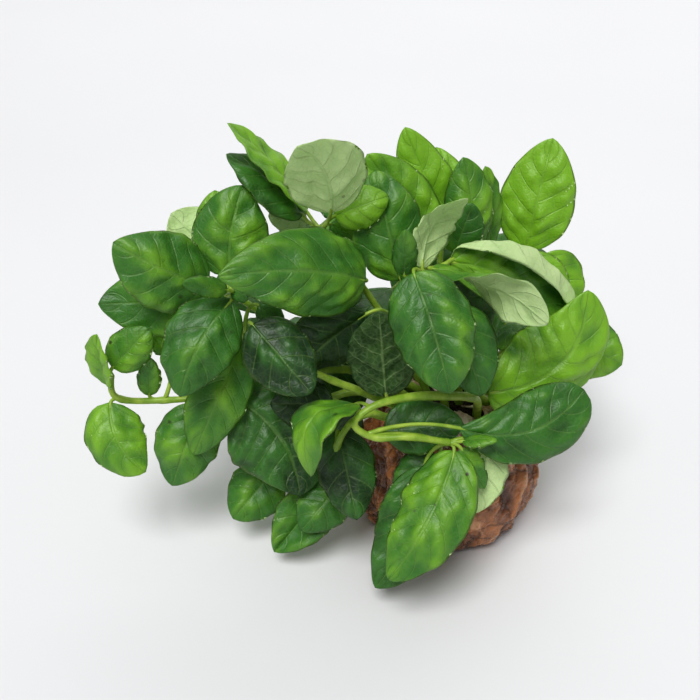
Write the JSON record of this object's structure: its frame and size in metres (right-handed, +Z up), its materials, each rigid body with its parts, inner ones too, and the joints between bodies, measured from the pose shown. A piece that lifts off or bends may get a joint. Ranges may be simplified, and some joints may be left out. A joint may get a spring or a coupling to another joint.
{
  "type": "basil plant with its root ball in a crumpled film wrap",
  "caption": "Bushy leaning basil plant of leafy stems in a soil root ball, held in a crumpled brown film wrap that stands on its flat foot.",
  "frame": {"origin": "centre of the wrap's flat foot, on the surface that it stands on", "axes": "+Z up, +X to the right and +Y away in the front view; the foliage leans to -X"},
  "size_m": [0.2691, 0.2043, 0.2186],
  "materials": {
    "film": "crumpled brown film, half glossy",
    "soil": "dark moist peat",
    "foliage": "green leaves with a soft gloss, paler undersides and yellow-green stems"
  },
  "bodies": {
    "root": {"wrap": "film", "root_ball": "soil", "leafy_stem_top_left": "foliage", "leafy_stem_left": "foliage", "leafy_stem_low_left": "foliage", "leafy_stem_far_left": "foliage", "leafy_stem_low_front": "foliage", "leafy_stem_front": "foliage", "leafy_stem_loop": "foliage", "leafy_stem_right_front": "foliage", "leafy_stem_right": "foliage", "leafy_stem_curled": "foliage", "leafy_stem_top_right": "foliage", "leafy_stem_top_middle": "foliage", "leafy_stem_back_left": "foliage", "leafy_stem_back_far_left": "foliage", "leafy_stem_back_middle": "foliage", "leafy_stem_back_right": "foliage", "leafy_stem_back_far_right": "foliage"}
  },
  "joints": []
}
